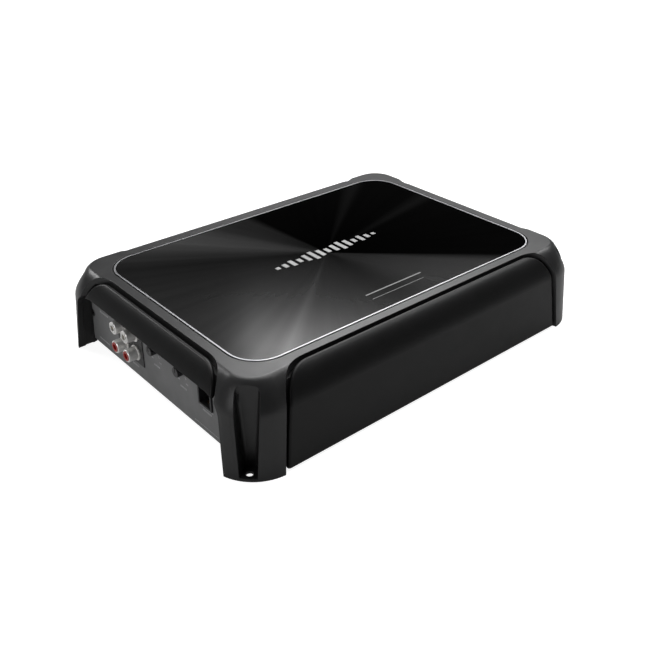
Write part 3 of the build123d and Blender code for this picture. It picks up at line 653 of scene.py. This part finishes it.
# the painted highlight strip below the jacks
input_marks_and_highlight.append(plate_box(INPUT_PLATE_X, *JACK_PAINTED_HIGHLIGHT))
output_marks = []
for row in OUTPUT_CAPTIONS:
    output_marks += caption(OUTPUT_PLATE_X, *row)

# The print on both plates, also used for the painted highlight strip below the jacks
PRINT_AND_HIGHLIGHT = finish_material(
    "mat_print_and_highlight",
    light=(0.46, 0.46, 0.47),
    dark=(0.34, 0.34, 0.35),
    rough=(0.5, 0.65),
    patch=3.0,
    grain=0.3,
    grain_depth=0.002,
    edge=0.0,
)
mesh_piece("input_plate_print_and_highlight", input_marks_and_highlight, PRINT_AND_HIGHLIGHT)
mesh_piece("output_plate_print", output_marks, PRINT_AND_HIGHLIGHT)

# ---- A plain level-bar badge and two blank rules on the panel, in mm --------------------
PANEL_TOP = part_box("top_panel")[1].z / MM
BADGE_HEIGHTS = (3, 5, 8, 5, 9, 12, 9, 6, 9, 12, 9, 5, 8, 5, 3)
BADGE_PITCH = 5.9
BADGE_BAR = 3.1
BADGE_THICK = 0.3
BADGE_X = 2.2
BADGE_Y = 2.0
RULE_X = -21.0
RULE_THICK = 0.1
RULES = ((26.0, -60.4, 1.0), (22.6, -66.4, 0.4))  # x where it ends, y of its middle, width

badge_boxes = []
for i, height in enumerate(BADGE_HEIGHTS):
    x = BADGE_X + BADGE_PITCH * (i - (len(BADGE_HEIGHTS) - 1) / 2)
    low_corner = (x - BADGE_BAR / 2, BADGE_Y - height / 2, PANEL_TOP)
    high_corner = (x + BADGE_BAR / 2, BADGE_Y + height / 2, PANEL_TOP + BADGE_THICK)
    badge_boxes.append((low_corner, high_corner))
BADGE = finish_material(
    "mat_badge",
    light=(0.22, 0.22, 0.22),
    dark=(0.16, 0.16, 0.16),
    rough=(0.36, 0.44),
    patch=9.0,
    metallic=0.6,
    grain=0.3,
    grain_depth=0.002,
    edge=0.12,
)
mesh_piece("level_badge", badge_boxes, BADGE)

rule_boxes = []
for end_x, y, width in RULES:
    low_corner = (RULE_X, y - width / 2, PANEL_TOP)
    high_corner = (end_x, y + width / 2, PANEL_TOP + RULE_THICK)
    rule_boxes.append((low_corner, high_corner))
RULE = finish_material(
    "mat_panel_rule",
    light=(0.10, 0.10, 0.10),
    dark=(0.07, 0.07, 0.07),
    rough=(0.35, 0.45),
    patch=9.0,
    grain=0.3,
    grain_depth=0.002,
    edge=0.0,
)
mesh_piece("panel_rules", rule_boxes, RULE)


# ---- Floor, light and camera ---------------------------------------------------------
def floor_material():
    """Matt paper: glowing white to the camera, and a soft bounce from below to the object."""
    g = Graph("floor_paper")
    tone = g.noise(140.0, 3.0)
    fibre = g.noise(0.8, 3.0)
    seen = g.add("ShaderNodeLightPath")
    g.principled(
        Base_Color=g.mix(g.spread(tone, 0.0, 1.0), (0.33, 0.33, 0.33), (0.36, 0.36, 0.36)),
        Roughness=0.9,
        Emission_Color=(1.0, 1.0, 1.0, 1.0),
        Emission_Strength=g.spread(seen.outputs["Is Camera Ray"], FLOOR_BOUNCE, FLOOR_WHITE, 0.0, 1.0),
        Normal=g.bump(fibre, 0.01),
    )
    return g.material


bpy.ops.mesh.primitive_plane_add(size=FLOOR_SIZE, location=(0.0, 0.0, 0.0))
floor = bpy.context.object
floor.name = "studio_floor"
floor.data.materials.append(floor_material())

world = bpy.data.worlds.new("studio")
bpy.context.scene.world = world
world.use_nodes = True
sky = world.node_tree.nodes["Background"]
seen = world.node_tree.nodes.new("ShaderNodeLightPath")
level = world.node_tree.nodes.new("ShaderNodeMapRange")
level.inputs["To Min"].default_value = ROOM_LIGHT
level.inputs["To Max"].default_value = ROOM_WHITE
world.node_tree.links.new(seen.outputs["Is Camera Ray"], level.inputs["Value"])
world.node_tree.links.new(level.outputs["Result"], sky.inputs["Strength"])
sky.inputs["Color"].default_value = (1.0, 1.0, 1.0, 1.0)


def softbox(name, at, aim, size, power):
    """A rectangular area light at one point, turned to another; metres and watts."""
    data = bpy.data.lights.new(name, "AREA")
    data.shape = "RECTANGLE"
    data.size, data.size_y = size
    data.energy = power
    light = bpy.data.objects.new(name, data)
    bpy.context.scene.collection.objects.link(light)
    light.location = at
    light.rotation_mode = "QUATERNION"
    light.rotation_quaternion = (Vector(aim) - Vector(at)).to_track_quat("-Z", "Y")


def aimed(azimuth, elevation, distance):
    """A point round the origin, in degrees and metres; azimuth 0 is +Y and 90 is +X."""
    a = math.radians(azimuth)
    e = math.radians(elevation)
    return (
        distance * math.sin(a) * math.cos(e),
        distance * math.cos(a) * math.cos(e),
        distance * math.sin(e),
    )


AIM = (0.0, 0.0, 0.05)
LOW_AIM = (0.0, 0.0, 0.03)
softbox("light_back", aimed(50, 45, 1.5), AIM, (0.8, 0.5), 14.0)
softbox("light_top", aimed(50, 76, 1.2), AIM, (1.4, 0.7), 14.0)
softbox("light_right", aimed(108, 44, 1.4), AIM, (0.6, 0.3), 7.0)
softbox("light_left", aimed(338, 33, 1.5), AIM, (0.5, 0.3), 8.0)
softbox("light_front", aimed(262, 20, 1.6), LOW_AIM, (0.6, 0.6), 4.4)

camera_data = bpy.data.cameras.new("camera")
camera = bpy.data.objects.new("camera", camera_data)
bpy.context.scene.collection.objects.link(camera)
camera_data.lens = CAMERA_LENS
camera_data.shift_x, camera_data.shift_y = CAMERA_SHIFT
camera_data.clip_start = CAMERA_CLIP
look = Vector(
    (
        math.sin(CAMERA_AZIMUTH) * math.cos(CAMERA_PITCH),
        math.cos(CAMERA_AZIMUTH) * math.cos(CAMERA_PITCH),
        math.sin(CAMERA_PITCH),
    )
)
camera.location = CAMERA_AT
camera.rotation_mode = "QUATERNION"
camera.rotation_quaternion = look.to_track_quat("-Z", "Y")
bpy.context.scene.camera = camera
bpy.context.scene.view_settings.view_transform = "Standard"
